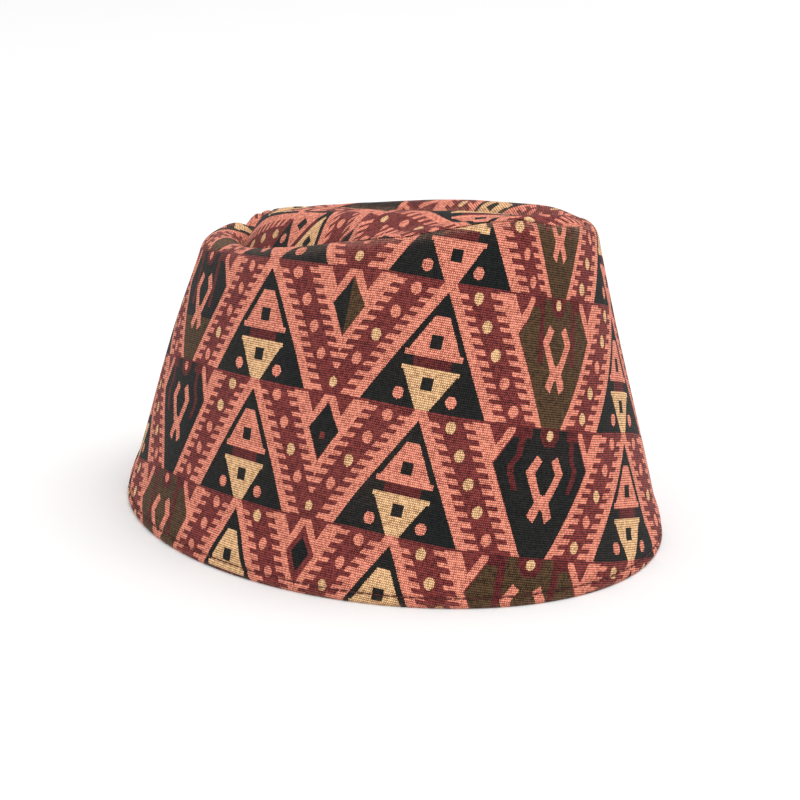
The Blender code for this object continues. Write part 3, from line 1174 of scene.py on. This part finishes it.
def make_lining_material(weave_group):
    """Plain dark cotton inside of the cap."""
    material, tree, shader = new_material("plain_lining_cloth", sheen=0.1)
    weave = place_group(tree, weave_group)
    weave.inputs["Thread"].default_value = LINING_THREAD
    weave.inputs["Rib"].default_value = LINING_THREAD
    tree.links.new(cloth_place(tree), weave.inputs["Place"])
    height = Wire(tree, weave.outputs["Height"])
    luck = Wire(tree, weave.outputs["Chance"])
    # Painted light: the high thread tops take the lit colour and the gaps the shaded one, with
    # random tone by chance.
    light = height.spread(0.0, 0.4) + luck.spread(0.0, 0.32)
    tree.links.new(paint(tree, *LINING_SHADED_AND_LIT, light), shader.inputs["Base Color"])
    tree.links.new(luck.spread(0.8, 0.9).socket, shader.inputs["Roughness"])
    bump_with(tree, shader, height, strength=0.5, distance=0.15 * MM)
    return material


def make_thread_material():
    """Twisted sewing thread."""
    material, tree, shader = new_material("hem_sewing_thread", sheen=0.1)
    ply = soft_noise(tree, scale=1600.0)
    tree.links.new(paint(tree, *STITCH_THREAD, ply), shader.inputs["Base Color"])
    tree.links.new(ply.spread(0.6, 0.8).socket, shader.inputs["Roughness"])
    bump_with(tree, shader, ply, strength=0.5, distance=0.1 * MM)
    return material


def make_floor():
    """A plain pale floor."""
    bm = bmesh.new()
    bmesh.ops.create_grid(bm, x_segments=2, y_segments=2, size=FLOOR_SIZE)
    mesh = bpy.data.meshes.new("studio_floor")
    bm.to_mesh(mesh)
    bm.free()
    floor = bpy.data.objects.new("studio_floor", mesh)
    bpy.context.collection.objects.link(floor)
    material, tree, shader = new_material("pale_floor")
    shader.inputs["Base Color"].default_value = PALE_FLOOR
    shader.inputs["Roughness"].default_value = 0.9
    mesh.materials.append(material)
    return floor


def make_area_light(name, place, size, power):
    """A round light that looks at the cap."""
    data = bpy.data.lights.new(name, "AREA")
    data.shape = "DISK"
    data.size = size
    data.energy = power
    light = bpy.data.objects.new(name, data)
    light.location = place
    way = LIGHT_AIM - Vector(place)
    light.rotation_euler = way.to_track_quat("-Z", "Y").to_euler()
    bpy.context.collection.objects.link(light)


def make_camera():
    """Camera at the photograph's angle, a metre away."""
    level, rise = math.cos(CAMERA_ELEVATION), math.sin(CAMERA_ELEVATION)
    aside, ahead = math.cos(CAMERA_AZIMUTH), math.sin(CAMERA_AZIMUTH)
    way = Vector((level * aside, level * ahead, rise))
    data = bpy.data.cameras.new("photo_camera")
    data.lens = CAMERA_LENS
    data.sensor_width = CAMERA_SENSOR
    data.clip_end = CAMERA_SEES
    camera = bpy.data.objects.new("photo_camera", data)
    camera.location = CAMERA_AIM + way * CAMERA_DISTANCE
    camera.rotation_euler = (-way).to_track_quat("-Z", "Y").to_euler()
    bpy.context.collection.objects.link(camera)
    bpy.context.scene.camera = camera


def make_studio():
    """White air all round and two soft lights."""
    scene = bpy.context.scene
    scene.view_settings.view_transform = "Standard"
    world = bpy.data.worlds.new("studio_air")
    world.use_nodes = True
    background = world.node_tree.nodes["Background"]
    background.inputs["Color"].default_value = WHITE
    background.inputs["Strength"].default_value = 1.0
    scene.world = world
    make_area_light("soft_light_over", place=(0.5, -0.4, 1.7), size=1.3, power=15.0)
    make_area_light("soft_light_front", place=(-0.9, -1.2, 0.8), size=1.0, power=4.0)


make_camera()
make_studio()
make_floor()

weave_cloth = make_weave_group()
woven_figure = make_figure_group()
side_cloth = make_woven_material("woven_cloth_side", weave_cloth, woven_figure)
top_cloth = make_woven_material("woven_cloth_top", weave_cloth, woven_figure)
lining = make_lining_material(weave_cloth)

side_wall = make_side_wall(side_cloth, lining)
top_panel = make_top_panel(top_cloth, lining)
stitches = make_hem_stitches(make_thread_material())

for piece, slot in (
    (side_wall, "woven_cloth_side"),
    (top_panel, "woven_cloth_top"),
    (stitches, "woven_cloth_side"),
):
    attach(piece, "root")
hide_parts("side_wall")
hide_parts("top_panel")
